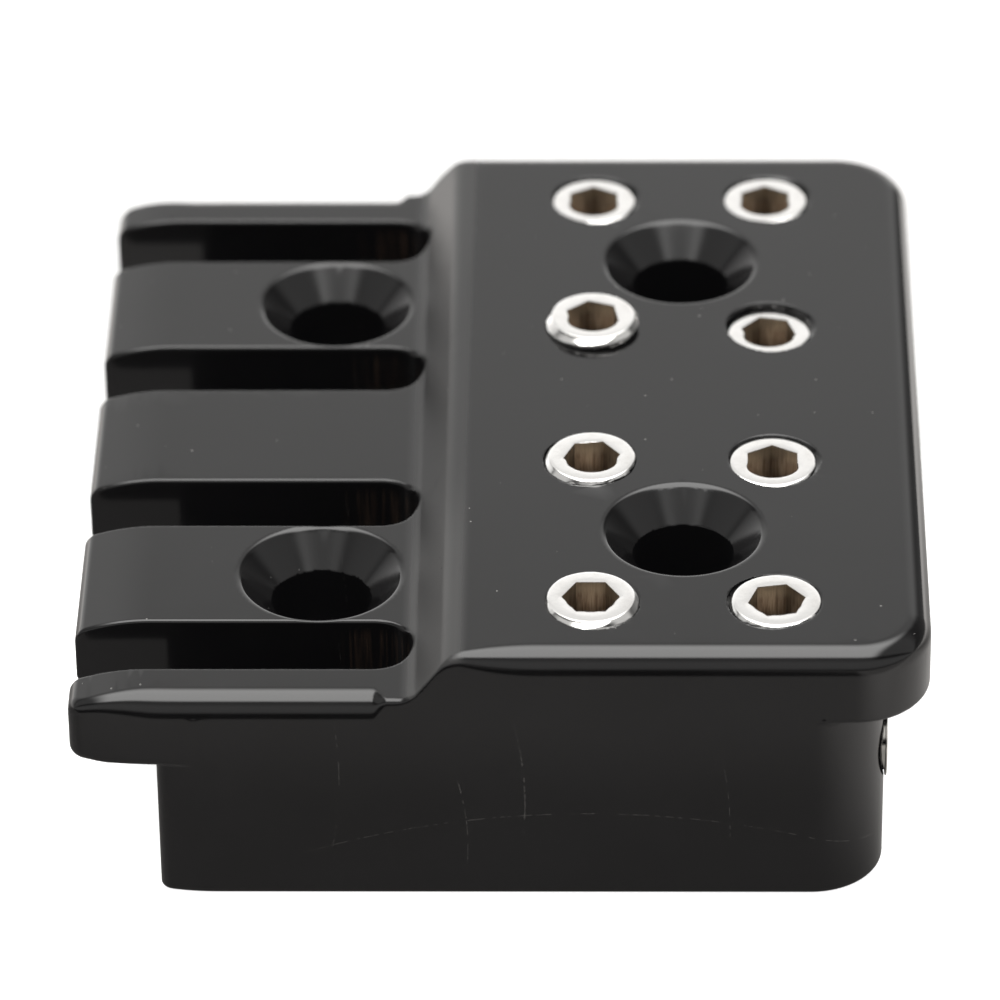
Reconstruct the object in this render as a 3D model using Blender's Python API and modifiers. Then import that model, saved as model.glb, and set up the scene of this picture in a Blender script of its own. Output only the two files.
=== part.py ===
"""Headpiece of a headless four-string bass: a stepped metal block that clamps the strings.

Frame: +Z up, +X towards the outer end (away from the neck), +Y across the strings.
Origin: centre of the block's bottom face.  Metres; the dimensions below are in millimetres.

The block is one machined body.  Its low flange (at -X) carries four string slots.  From the end
of each slot a round channel runs under the raised plate and out of the +X wall, where a small
flanged bush lines it.  Two M4 set screws stand over each channel, each one on a swivelling pad.
"""
import math

import bmesh
import bpy
from mathutils import Matrix, Vector

MM = 0.001

# ---- block -------------------------------------------------------------------------------------
LENGTH = 34.34          # along X, flange end to plate end
WIDTH = 37.74           # along Y
HALF_X, HALF_Y = LENGTH / 2, WIDTH / 2
Z_BOTTOM = 0.0
Z_FLANGE = 9.55         # top of the low flange
STEP = 2.15             # plate top above flange top
Z_PLATE = Z_FLANGE + STEP
Z_FLANGE_UNDER = 6.30   # underside of the flange where it overhangs the lower block
Z_PLATE_UNDER = 8.40    # underside of the plate where it overhangs the lower block
UNDERSIDE_STEP_X = 0.0  # the underside changes height here, inside the lower block
LOWER_X0, LOWER_X1 = -13.72, 15.40
FOOT_X, FOOT_RADIUS = -4.00, 0.70      # the step up to the plate starts here, with a hollow arc
CROWN_RADIUS, STEP_ANGLE = 1.30, 53.0  # then a straight slope, and this radius onto the plate
END_RUN, END_DROP = 2.20, 0.80         # softened top edge of the flange's free end
TOP_FILLET = 0.90
Z_LOWER_TOP = Z_FLANGE - TOP_FILLET - 0.05  # lower block ends just below the rounded top edges
PLATE_CORNER = 3.06
LOWER_CORNER = 2.93     # lower block, +X corners
SMALL_CORNER = 0.60     # lower block, -X corners

# ---- strings -----------------------------------------------------------------------------------
STRING_PITCH = 10.0
STRINGS = 4
SLOT_WIDTH = 3.20
SLOT_END_X = -5.10      # centre of the slot's round end
SLOT_FLOOR = Z_FLANGE - 5.70
CHANNEL_Z = Z_FLANGE - 4.10
CHANNEL_R = 1.50
CHANNEL_OVERLAP = 0.80  # the channel starts this far inside the slot
BUSH_BORE_R, BUSH_BORE_DEPTH = 1.75, 1.50

# ---- set screws, M4 x 4, and their pads --------------------------------------------------------
SCREW_X = {"inner": 3.63, "outer": 11.03}
SCREW_R, SCREW_LENGTH = 2.00, 4.00
SCREW_CHAMFER = 0.28
RECESS_R, RECESS_DEPTH = 0.75, 0.80    # in the screw's lower end, takes the pad's stem
SOCKET_AF, SOCKET_DEPTH = 2.00, 1.80   # hex socket, across flats
SCREW_HOLE_R = 2.08
SCREW_HOLE_FLOOR = Z_FLANGE - 4.00
PAD_HOLE_R = 1.75
PAD_HOLE_FLOOR = Z_FLANGE - 5.00
PAD_R, PAD_THICK, PAD_CHAMFER = 1.55, 0.80, 0.12
STEM_R, STEM_HEIGHT = 0.65, 0.60
SWIVEL_GAP = 0.10       # between screw end and pad top

# (string, place): (screw top above the plate in mm, turn of its hex socket in degrees)
SCREW_REST = {
    (4, "inner"): (0.18, 0.0), (4, "outer"): (0.02, 10.0),
    (3, "inner"): (0.15, 7.0), (3, "outer"): (-0.10, 30.0),
    (2, "inner"): (0.50, 40.0), (2, "outer"): (-0.30, 48.0),
    (1, "inner"): (-0.10, 30.0), (1, "outer"): (-0.08, 30.0),
}

# ---- mounting holes, 90 degree countersinks ----------------------------------------------------
CSK_SURFACES = ((-7.35, Z_FLANGE), (7.35, Z_PLATE))  # (x, surface z): flange pair, plate pair
CSK_Y = (-STRING_PITCH, STRING_PITCH)                # midway between strings
CSK_R, CSK_BORE_R = 3.20, 2.03
CSK_BELOW, CSK_ABOVE = 1.30, 0.50                    # extent of the cone about the surface
CSK_BORE_TOP = 0.50                                  # bore starts this far below the surface

# ---- exit bushes -------------------------------------------------------------------------------
BUSH_BORE = 1.40        # radius of the hole through the bush
SLEEVE_R, SLEEVE_LENGTH = 1.70, 1.40
RIM_R, RIM_THICK, RIM_CHAMFER = 1.95, 0.14, 0.05
MOUTH_CHAMFER = 0.12
BUSH_STANDOFF = 0.03    # rim's underside off the +X wall

# ---- facets and cutter overrun -----------------------------------------------------------------
SEG_BORE, SEG_CSK, SEG_SCREW, SEG_SMALL = 28, 32, 32, 24
STEPS_HOLLOW, STEPS_CROWN, STEPS_CORNER, STEPS_SMALL_CORNER, STEPS_SLOT_END = 5, 6, 8, 3, 10
END_ANGLES = (0, 22.5, 45, 67.5, 90)
OVERRUN = 1.0           # cutters run this far past the surface they open
SLOT_OVERRUN = 2.0
SOCKET_OVERRUN = 0.5
PLAN_TOP = 20.0         # top of the plan-shaped cutter, well above the block
SMOOTH_ANGLE = 30       # degrees; steeper edges on the small parts are shaded sharp


def string_y(number):
    """String 4 is at the front (-Y), string 1 at the back."""
    return (STRINGS + 1 - 2 * number) * STRING_PITCH / 2


STRING_YS = [string_y(number) for number in range(1, STRINGS + 1)]


# ---- scene and materials -----------------------------------------------------------------------
for old in list(bpy.data.objects):
    bpy.data.objects.remove(old, do_unlink=True)

parts = bpy.data.collections.new("headless_headpiece")
cutters = bpy.data.collections.new("cutters")
bpy.context.scene.collection.children.link(parts)
bpy.context.scene.collection.children.link(cutters)


def material(name, colour, metallic, roughness):
    mat = bpy.data.materials.new(name)
    mat.use_nodes = True
    shader = mat.node_tree.nodes["Principled BSDF"]
    shader.inputs["Base Color"].default_value = (*colour, 1.0)
    shader.inputs["Metallic"].default_value = metallic
    shader.inputs["Roughness"].default_value = roughness
    return mat


BLACK = material("black_finish", colour=(0.012, 0.011, 0.011), metallic=0.3, roughness=0.18)
CHROME = material("bright_chrome", colour=(0.80, 0.79, 0.77), metallic=1.0, roughness=0.10)
BRASS = material("pad_brass", colour=(0.70, 0.50, 0.22), metallic=1.0, roughness=0.30)
NICKEL = material("bush_nickel", colour=(0.66, 0.64, 0.60), metallic=1.0, roughness=0.22)


# ---- objects and modifiers ---------------------------------------------------------------------
def add_object(name, data, collection):
    ob = bpy.data.objects.new(name, data)
    collection.objects.link(ob)
    return ob


def add_cutter(name, mesh):
    """A helper object, kept in the scene for the booleans but not rendered."""
    ob = add_object(name, mesh, cutters)
    ob.hide_render = True
    ob.display_type = "WIRE"
    return ob


def boolean(ob, other, operation="DIFFERENCE"):
    mod = ob.modifiers.new(other.name, "BOOLEAN")
    mod.operation = operation
    mod.solver = "EXACT"
    mod.object = other


def mesh_from(bm, name):
    """A new mesh holding the bmesh, which is freed."""
    mesh = bpy.data.meshes.new(name)
    bm.to_mesh(mesh)
    bm.free()
    return mesh


def bake(ob, name):
    """Replace the object by its evaluated mesh, placed in the world, with loose caps welded."""
    bpy.context.view_layer.update()
    graph = bpy.context.evaluated_depsgraph_get()
    mesh = bpy.data.meshes.new_from_object(ob.evaluated_get(graph), depsgraph=graph)
    mesh.name = name
    bm = bmesh.new()
    bm.from_mesh(mesh)
    bmesh.ops.remove_doubles(bm, verts=bm.verts, dist=1e-7)
    bmesh.ops.recalc_face_normals(bm, faces=bm.faces)
    bm.to_mesh(mesh)
    bm.free()
    mesh.transform(ob.matrix_world)
    bpy.data.objects.remove(ob, do_unlink=True)
    return mesh


# ---- shapes, in millimetres --------------------------------------------------------------------
def arc(cx, cy, radius, start, stop, steps):
    """Points on an arc, angles in degrees."""
    angles = [math.radians(start + (stop - start) * i / steps) for i in range(steps + 1)]
    return [(cx + radius * math.cos(a), cy + radius * math.sin(a)) for a in angles]


def prism(name, outline, low, high, upright=False):
    """Mesh of a flat outline extruded from low to high.

    Plain: the outline lies in XY and is extruded along Z.
    Upright: the outline is (x, z) and is extruded along Y.
    """
    curve = bpy.data.curves.new(name, "CURVE")
    curve.dimensions = "2D"
    curve.fill_mode = "BOTH"
    curve.extrude = (high - low) / 2 * MM
    spline = curve.splines.new("POLY")
    spline.points.add(len(outline) - 1)
    for point, (u, v) in zip(spline.points, outline):
        point.co = (u * MM, v * MM, 0.0, 1.0)
    spline.use_cyclic_u = True
    ob = add_object(name, curve, cutters)
    middle = (low + high) / 2 * MM
    if upright:
        ob.rotation_euler = (math.pi / 2, 0.0, 0.0)
        ob.location = (0.0, middle, 0.0)
    else:
        ob.location = (0.0, 0.0, middle)
    return bake(ob, name)


def turned(name, profile, segments):
    """Mesh of a closed body of revolution about Z from (radius, height) points.

    A profile that starts on the axis also ends on it; any other is closed into a ring.
    """
    bm = bmesh.new()
    verts = [bm.verts.new((radius * MM, 0.0, z * MM)) for radius, z in profile]
    for a, b in zip(verts, verts[1:]):
        bm.edges.new((a, b))
    if profile[0][0] > 0:
        bm.edges.new((verts[-1], verts[0]))
    ob = add_object(name, mesh_from(bm, name), cutters)
    screw = ob.modifiers.new("turn", "SCREW")
    screw.axis = "Z"
    screw.angle = 2 * math.pi
    screw.steps = segments
    screw.render_steps = segments
    screw.use_merge_vertices = True
    screw.merge_threshold = 0.000001
    return bake(ob, name + "_solid")


def rods(name, spans, segments):
    """Cylinders or cones as one cutter.  Each span: (start, end, start radius, end radius)."""
    bm = bmesh.new()
    for start, end, start_r, end_r in spans:
        start, end = Vector(start), Vector(end)
        along = end - start
        turn = Vector((0, 0, 1)).rotation_difference(along.normalized()).to_matrix().to_4x4()
        bmesh.ops.create_cone(
            bm, cap_ends=True, cap_tris=False, segments=segments,
            radius1=start_r * MM, radius2=end_r * MM, depth=along.length * MM,
            matrix=Matrix.Translation((start + end) / 2 * MM) @ turn,
        )
    return add_cutter(name, mesh_from(bm, name))


# ---- upper body: flange, step and plate --------------------------------------------------------
def side_outline():
    """(x, z) outline of flange and plate, seen along Y."""
    angle = math.radians(STEP_ANGLE)
    both_radii = FOOT_RADIUS + CROWN_RADIUS
    slope_run = (STEP - both_radii * (1 - math.cos(angle))) / math.tan(angle)
    crown_x = FOOT_X + both_radii * math.sin(angle) + slope_run
    hollow = arc(
        FOOT_X, Z_FLANGE + FOOT_RADIUS, FOOT_RADIUS, -90, -90 + STEP_ANGLE, STEPS_HOLLOW
    )
    crown = arc(
        crown_x, Z_PLATE - CROWN_RADIUS, CROWN_RADIUS, 90 + STEP_ANGLE, 90, STEPS_CROWN
    )
    # a quarter ellipse
    free_end = [
        (
            -HALF_X + END_RUN * (1 - math.cos(math.radians(a))),
            Z_FLANGE - END_DROP * (1 - math.sin(math.radians(a))),
        )
        for a in END_ANGLES
    ]
    return [
        (-HALF_X, Z_FLANGE_UNDER),
        (UNDERSIDE_STEP_X, Z_FLANGE_UNDER),
        (UNDERSIDE_STEP_X, Z_PLATE_UNDER),
        (HALF_X, Z_PLATE_UNDER),
        (HALF_X, Z_PLATE),
    ] + list(reversed(free_end + hollow + crown))


def plan_outline():
    """(x, y) outline that rounds the plate's two corners and clears the block elsewhere."""
    corner_x, corner_y = HALF_X - PLATE_CORNER, HALF_Y - PLATE_CORNER
    far_x, far_y = -HALF_X - OVERRUN, HALF_Y + OVERRUN
    return (
        [(far_x, -far_y), (corner_x, -far_y)]
        + arc(corner_x, -corner_y, PLATE_CORNER, -90, 0, STEPS_CORNER)
        + arc(corner_x, corner_y, PLATE_CORNER, 0, 90, STEPS_CORNER)
        + [(corner_x, far_y), (far_x, far_y)]
    )


def mark_top_edges(mesh):
    """Give full bevel weight to the edges where the top surfaces meet upright walls."""
    wall_tilt = 0.05    # largest normal z of a wall
    top_tilt = 0.30     # smallest normal z of a top surface
    crease_dot = 0.35   # normals of a sharp edge agree less than this
    lowest = (Z_FLANGE - END_DROP - 0.01) * MM
    bm = bmesh.new()
    bm.from_mesh(mesh)
    weights = bm.edges.layers.float.new("bevel_weight_edge")
    for edge in bm.edges:
        if len(edge.link_faces) != 2:
            continue
        first, second = (face.normal for face in edge.link_faces)
        has_wall = min(abs(first.z), abs(second.z)) < wall_tilt
        has_top = max(first.z, second.z) > top_tilt
        high = min(vert.co.z for vert in edge.verts) > lowest
        if has_wall and has_top and high and first.dot(second) < crease_dot:
            edge[weights] = 1.0
    bm.to_mesh(mesh)
    bm.free()


def build_upper():
    side = prism("upper_blank", side_outline(), -HALF_Y, HALF_Y, upright=True)
    blank = add_object("upper_blank", side, cutters)
    plan = add_cutter("upper_plan", prism("upper_plan", plan_outline(), 0.0, PLAN_TOP))
    boolean(blank, plan, "INTERSECT")
    mesh = bake(blank, "upper_rounded")
    mark_top_edges(mesh)
    upper = add_cutter("upper_body", mesh)
    bevel = upper.modifiers.new("top_fillet", "BEVEL")
    bevel.limit_method = "WEIGHT"
    bevel.width = TOP_FILLET * MM
    bevel.segments = 3
    bevel.use_clamp_overlap = True
    return upper


# ---- cuts in the block -------------------------------------------------------------------------
def string_slots():
    bm = bmesh.new()
    open_x, half_width = -HALF_X - SLOT_OVERRUN, SLOT_WIDTH / 2
    for y in STRING_YS:
        outline = (
            [(open_x, y - half_width)]
            + arc(SLOT_END_X, y, half_width, -90, 90, STEPS_SLOT_END)
            + [(open_x, y + half_width)]
        )
        bm.from_mesh(prism("slot", outline, SLOT_FLOOR, Z_PLATE + OVERRUN))
    return add_cutter("string_slots", mesh_from(bm, "string_slots"))


def channel_rods(name, start_x, radius):
    """One rod along each string, from start_x out through the +X wall."""
    end_x = LOWER_X1 + OVERRUN
    return rods(name, [
        ((start_x, y, CHANNEL_Z), (end_x, y, CHANNEL_Z), radius, radius) for y in STRING_YS
    ], SEG_BORE)


def screw_place_rods(name, low, high, radius):
    """One upright rod at each set screw."""
    return rods(name, [
        ((x, y, low), (x, y, high), radius, radius)
        for x in SCREW_X.values() for y in STRING_YS
    ], SEG_BORE)


def cut_mounting_holes(block):
    bores, cones = [], []
    for x, z in CSK_SURFACES:
        for y in CSK_Y:
            bores.append((
                (x, y, Z_BOTTOM - OVERRUN), (x, y, z - CSK_BORE_TOP), CSK_BORE_R, CSK_BORE_R
            ))
            cones.append((
                (x, y, z - CSK_BELOW), (x, y, z + CSK_ABOVE), CSK_R - CSK_BELOW, CSK_R + CSK_ABOVE
            ))
    boolean(block, rods("mounting_holes", bores, SEG_CSK))
    boolean(block, rods("countersinks", cones, SEG_CSK))


# ---- the block ---------------------------------------------------------------------------------
def lower_outline():
    """(x, y) outline of the lower block, with larger corners at its +X end."""
    small, large = SMALL_CORNER, LOWER_CORNER
    return (
        arc(LOWER_X0 + small, -HALF_Y + small, small, 180, 270, STEPS_SMALL_CORNER)
        + arc(LOWER_X1 - large, -HALF_Y + large, large, 270, 360, STEPS_CORNER)
        + arc(LOWER_X1 - large, HALF_Y - large, large, 0, 90, STEPS_CORNER)
        + arc(LOWER_X0 + small, HALF_Y - small, small, 90, 180, STEPS_SMALL_CORNER)
    )


def build_block():
    upper = build_upper()
    mesh = prism("block", lower_outline(), Z_BOTTOM, Z_LOWER_TOP)
    mesh.materials.append(BLACK)
    block = add_object("block", mesh, parts)
    boolean(block, upper, "UNION")
    boolean(block, string_slots())
    boolean(block, channel_rods("string_channels", SLOT_END_X - CHANNEL_OVERLAP, CHANNEL_R))
    boolean(block, channel_rods("bush_counterbores", LOWER_X1 - BUSH_BORE_DEPTH, BUSH_BORE_R))
    boolean(block, screw_place_rods(
        "pad_holes", PAD_HOLE_FLOOR, SCREW_HOLE_FLOOR + OVERRUN, PAD_HOLE_R
    ))
    boolean(block, screw_place_rods(
        "screw_holes", SCREW_HOLE_FLOOR, Z_PLATE + OVERRUN, SCREW_HOLE_R
    ))
    cut_mounting_holes(block)


# ---- small parts -------------------------------------------------------------------------------
def finish(mesh, mat):
    """Make this the mesh's only material and shade its round faces smooth."""
    mesh.materials.clear()
    mesh.materials.append(mat)
    mesh.shade_smooth()
    mesh.set_sharp_from_angle(angle=math.radians(SMOOTH_ANGLE))
    return mesh


def screw_mesh():
    """Set screw, origin at the centre of its top."""
    blank = add_object("screw_blank", turned("screw_blank", [
        (0.0, 0.0),
        (SCREW_R - SCREW_CHAMFER, 0.0),
        (SCREW_R, -SCREW_CHAMFER),
        (SCREW_R, -SCREW_LENGTH + SCREW_CHAMFER),
        (SCREW_R - SCREW_CHAMFER, -SCREW_LENGTH),
        (RECESS_R, -SCREW_LENGTH),
        (RECESS_R, -SCREW_LENGTH + RECESS_DEPTH),
        (0.0, -SCREW_LENGTH + RECESS_DEPTH),
    ], SEG_SCREW), cutters)
    hexagon = arc(0, 0, SOCKET_AF / math.sqrt(3), 0, 300, 5)
    socket = add_cutter("socket", prism("socket", hexagon, -SOCKET_DEPTH, SOCKET_OVERRUN))
    boolean(blank, socket)
    return finish(bake(blank, "set_screw"), CHROME)


def pad_mesh():
    """Clamp pad with its stem, origin at the pad's top."""
    return finish(turned("clamp_pad", [
        (0.0, STEM_HEIGHT),
        (STEM_R, STEM_HEIGHT),
        (STEM_R, 0.0),
        (PAD_R - PAD_CHAMFER, 0.0),
        (PAD_R, -PAD_CHAMFER),
        (PAD_R, -PAD_THICK + PAD_CHAMFER),
        (PAD_R - PAD_CHAMFER, -PAD_THICK),
        (0.0, -PAD_THICK),
    ], SEG_SMALL), BRASS)


def bush_mesh():
    """Flanged bush, origin at the underside of its rim."""
    return finish(turned("string_bush", [
        (RIM_R - RIM_CHAMFER, RIM_THICK),
        (RIM_R, RIM_THICK - RIM_CHAMFER),
        (RIM_R, 0.0),
        (SLEEVE_R, 0.0),
        (SLEEVE_R, -SLEEVE_LENGTH),
        (BUSH_BORE, -SLEEVE_LENGTH),
        (BUSH_BORE, RIM_THICK - MOUTH_CHAMFER),
        (BUSH_BORE + MOUTH_CHAMFER, RIM_THICK),
    ], SEG_SMALL), NICKEL)


def place_screws_and_pads():
    screw_shape, pad_shape = screw_mesh(), pad_mesh()
    for (number, place), (proud, turn) in SCREW_REST.items():
        x, y, z = SCREW_X[place], string_y(number), Z_PLATE + proud
        screw = add_object(f"set_screw_{number}_{place}", screw_shape, parts)
        screw.location = Vector((x, y, z)) * MM
        screw.rotation_euler = (0.0, 0.0, math.radians(turn))
        pad = add_object(f"clamp_pad_{number}_{place}", pad_shape, parts)
        pad.location = Vector((x, y, z - SCREW_LENGTH - SWIVEL_GAP)) * MM


def place_bushes():
    bush_shape = bush_mesh()
    for number, y in enumerate(STRING_YS, start=1):
        bush = add_object(f"string_bush_{number}", bush_shape, parts)
        bush.location = Vector((LOWER_X1 + BUSH_STANDOFF, y, CHANNEL_Z)) * MM
        bush.rotation_euler = (0.0, math.pi / 2, 0.0)  # rim towards +X


build_block()
place_screws_and_pads()
place_bushes()
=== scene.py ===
"""Looks of a headless bass headpiece: one block with string slots, set screws, pads and exit bushes.

The row frame has its origin at the centre of the block's bottom face.  The strings run along X: the
low flange with the open slots is at -X, the raised plate with the screws and bushes at +X.  The front
is -Y, where string 4 lies.  Sizes are in millimetres and are scaled by MM on their way to Blender.
"""
import math

import bpy
import numpy as np
from mathutils import Matrix, Vector


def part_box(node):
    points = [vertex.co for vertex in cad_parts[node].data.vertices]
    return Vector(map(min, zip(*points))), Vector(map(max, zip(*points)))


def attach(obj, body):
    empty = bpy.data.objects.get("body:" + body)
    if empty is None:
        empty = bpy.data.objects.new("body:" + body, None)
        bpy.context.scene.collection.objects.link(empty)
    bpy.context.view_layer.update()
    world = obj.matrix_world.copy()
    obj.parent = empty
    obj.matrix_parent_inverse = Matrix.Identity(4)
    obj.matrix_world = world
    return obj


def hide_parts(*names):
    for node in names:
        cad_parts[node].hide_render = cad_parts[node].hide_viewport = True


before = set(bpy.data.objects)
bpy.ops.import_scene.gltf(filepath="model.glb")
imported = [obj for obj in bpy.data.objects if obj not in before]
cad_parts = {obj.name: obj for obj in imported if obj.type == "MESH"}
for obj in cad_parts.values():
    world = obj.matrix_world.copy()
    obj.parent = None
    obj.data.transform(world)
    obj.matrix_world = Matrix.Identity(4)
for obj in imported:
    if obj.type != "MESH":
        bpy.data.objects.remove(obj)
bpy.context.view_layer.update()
MM = 0.001
scene = bpy.context.scene

# ---- sizes of the block ----
block_low, block_high = (np.array(corner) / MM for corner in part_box("block"))
HALF_X = (block_high[0] - block_low[0]) / 2
HALF_Y = (block_high[1] - block_low[1]) / 2
Z_PLATE = block_high[2]
Z_FLANGE = Z_PLATE - 2.15
Z_FLANGE_UNDER, Z_PLATE_UNDER = 6.30, 8.40
LOWER_X0, LOWER_X1 = -13.72, 15.40
PLATE_CORNER, LOWER_CORNER = 3.06, 2.93
# the step: a small radius at the foot, a straight slope, a larger radius at the crown;
# the skew is its shift in X per millimetre of Y
FOOT_X, FOOT_R, HEAD_R, STEP_ANGLE, STEP_SKEW = -4.12, 0.95, 1.30, math.radians(53.0), 0.006
# the flange's top falls away beyond DROOP_X, by DROOP_DEPTH at DROOP_RUN further out
DROOP_X, DROOP_RUN, DROOP_DEPTH = -14.2, 2.83, 0.52
PITCH, SLOT_HALF, SLOT_END_X = 10.0, 1.60, -5.10
ROW_HALF, LANE_HALF = 2 * PITCH, PITCH / 2
SLOT_FLOOR, CHANNEL_Z, CHANNEL_R = Z_FLANGE - 5.70, Z_FLANGE - 4.10, 1.50
BUSH_R, BUSH_X = 1.75, LOWER_X1 - 1.50
SCREW_HOLE_R, SCREW_HOLE_FLOOR = 2.02, Z_FLANGE - 4.00
PAD_HOLE_R, PAD_HOLE_FLOOR = 1.75, Z_FLANGE - 5.00
# countersunk holes, midway between string lanes
CSK_X, CSK_Y = 7.35, PITCH
CSK_R, CSK_BORE, CSK_DEPTH = 3.24, 2.03, 1.6

# ---- sizes of the set screws ----
SCREW_X = {"inner": 3.63, "outer": 11.03}
SCREW_PITCH, SCREW_LENGTH, SCREW_FACE_R = 0.70, 4.00, 1.75
THREAD_CREST_R, THREAD_DEPTH, THREAD_LEAD = 1.955, 0.36, 0.15
SOCKET_HALF = 1.015
SCREW_SEGMENTS = 96
# degrees of turn of the hex socket and of the thread's start, wear depth at the socket's mouth
SCREW_TURNS = {
    (4, "inner"): (0.0, -20.0, 0.03), (4, "outer"): (10.0, 143.0, 0.03),
    (3, "inner"): (7.0, 210.0, 0.13), (3, "outer"): (30.0, 196.0, 0.16),
    (2, "inner"): (40.0, -10.0, 0.15), (2, "outer"): (48.0, 89.0, 0.15),
    (1, "inner"): (30.0, 215.0, 0.15), (1, "outer"): (30.0, 250.0, 0.15),
}
STRINGS_BY_Y = (4, 3, 2, 1)
# how far each screw's top stands above the plate, by place and then in order of Y
PROUD = {
    place: np.array([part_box(f"set_screw_{n}_{place}")[1].z / MM - Z_PLATE for n in STRINGS_BY_Y])
    for place in SCREW_X
}
THREAD_START = {
    place: np.array([SCREW_TURNS[(n, place)][1] for n in STRINGS_BY_Y]) for place in SCREW_X
}


# ---- mesh tools ----
def link_object(name, mesh):
    ob = bpy.data.objects.new(name, mesh)
    scene.collection.objects.link(ob)
    return ob


def points_of(mesh):
    """The mesh's vertices in millimetres."""
    coords = np.empty(len(mesh.vertices) * 3, np.float32)
    mesh.vertices.foreach_get("co", coords)
    return coords.reshape(-1, 3).astype(np.float64) / MM


def set_points(mesh, points):
    mesh.vertices.foreach_set("co", (points * MM).astype(np.float32).ravel())


def quad_mesh(name, verts, quads):
    """A smooth mesh from large arrays of points and quads."""
    mesh = bpy.data.meshes.new(name)
    mesh.vertices.add(len(verts))
    set_points(mesh, verts)
    mesh.loops.add(quads.size)
    mesh.loops.foreach_set("vertex_index", quads.astype(np.int32).ravel())
    mesh.polygons.add(len(quads))
    mesh.polygons.foreach_set("loop_start", np.arange(0, quads.size, 4, dtype=np.int32))
    mesh.update(calc_edges=True)
    mesh.validate()
    mesh.shade_smooth()
    return mesh


def rings_mesh(name, rings, loop=False, sharp_degrees=32.0):
    """Skins (n, 3) rings with quads; the last ring joins the first, or both ends close to a point."""
    n, count = len(rings[0]), len(rings)
    verts = [tuple(point) for ring in rings for point in ring]
    faces = []
    for k in range(count if loop else count - 1):
        here, after = k * n, (k + 1) % count * n
        for i in range(n):
            j = (i + 1) % n
            faces.append((here + i, after + i, after + j, here + j))
    if not loop:
        for k, winding in ((0, 1), (count - 1, -1)):
            centre = len(verts)
            verts.append(tuple(np.mean(rings[k], axis=0)))
            for i in range(n):
                faces.append((centre, k * n + i, k * n + (i + 1) % n)[::winding])
    mesh = bpy.data.meshes.new(name)
    mesh.from_pydata([tuple(point) for point in np.array(verts) * MM], [], faces)
    mesh.shade_smooth()
    mesh.set_sharp_from_angle(angle=math.radians(sharp_degrees))
    return mesh


# ---- the block: a distance field with true fillets, meshed on a grid that is fine at the edges ----
def rounded_and(a, b, radius):
    """Intersection of two fields with a fillet."""
    outside = np.hypot(np.maximum(a + radius, 0), np.maximum(b + radius, 0))
    return np.minimum(np.maximum(a, b), -radius) + outside


def rounded_or(a, b, radius):
    return -rounded_and(-a, -b, radius)


def ramp(value, low, high):
    """Smooth rise from 0 at low to 1 at high."""
    t = np.clip((value - low) / (high - low), 0, 1)
    return t * t * (3 - 2 * t)


def thread_radius(z, angle, start):
    """Radius of the M4 x 0.7 right-hand thread; z is from the screw's top, start in degrees."""
    turns = (angle - np.radians(start)) / (2 * math.pi)
    phase = np.mod((z + THREAD_LEAD) / SCREW_PITCH - turns, 1.0)
    t = np.abs(2 * np.abs(phase - 0.5) - 1)
    return THREAD_CREST_R - THREAD_DEPTH * np.clip((t - 0.22) / 0.62, 0, 1)


def top_field(x, y, z):
    """Flange, sloping step and plate, positive above the surface; the -X end droops softly."""
    x = x + STEP_SKEW * y
    sin, cos = math.sin(STEP_ANGLE), math.cos(STEP_ANGLE)
    slope_x, slope_z = FOOT_X + FOOT_R * sin, Z_FLANGE + FOOT_R * (1 - cos)
    length = (Z_PLATE - Z_FLANGE - (FOOT_R + HEAD_R) * (1 - cos)) / sin
    head_x = slope_x + length * cos + HEAD_R * sin
    along = (x - slope_x) * cos + (z - slope_z) * sin
    hollow = FOOT_R - np.hypot(x - FOOT_X, z - Z_FLANGE - FOOT_R)
    crown = np.hypot(x - head_x, z - Z_PLATE + HEAD_R) - HEAD_R
    incline = (z - slope_z) * cos - (x - slope_x) * sin
    middle = np.where(along < 0, hollow, np.where(along > length, crown, incline))
    out = np.clip((DROOP_X - x) / DROOP_RUN, 0, None)
    droop = DROOP_DEPTH * out * out
    tilt = 2 * DROOP_DEPTH * out / DROOP_RUN
    flat = (z - Z_FLANGE + droop) / np.sqrt(1 + tilt * tilt)
    return np.where(x < FOOT_X, flat, np.where(x > head_x, z - Z_PLATE, middle))


def plan_field(x, y, x0, x1, corner, small, setback, run):
    """Plan outline from x0 to x1: round corners at +X, nearly square ones at -X.

    The long sides draw in by setback over the last run before x0.
    """
    side = np.abs(y)
    past_x, past_y = x - (x1 - corner), side - (HALF_Y - corner)
    right = (np.hypot(np.maximum(past_x, 0), np.maximum(past_y, 0))
             + np.minimum(np.maximum(past_x, past_y), 0) - corner)
    half = HALF_Y - setback * np.clip(1 - (x - x0) / run, 0, 1) ** 2.5
    left = rounded_and(side - half, x0 - x, small)
    return np.where(x > 0, right, left)


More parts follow.
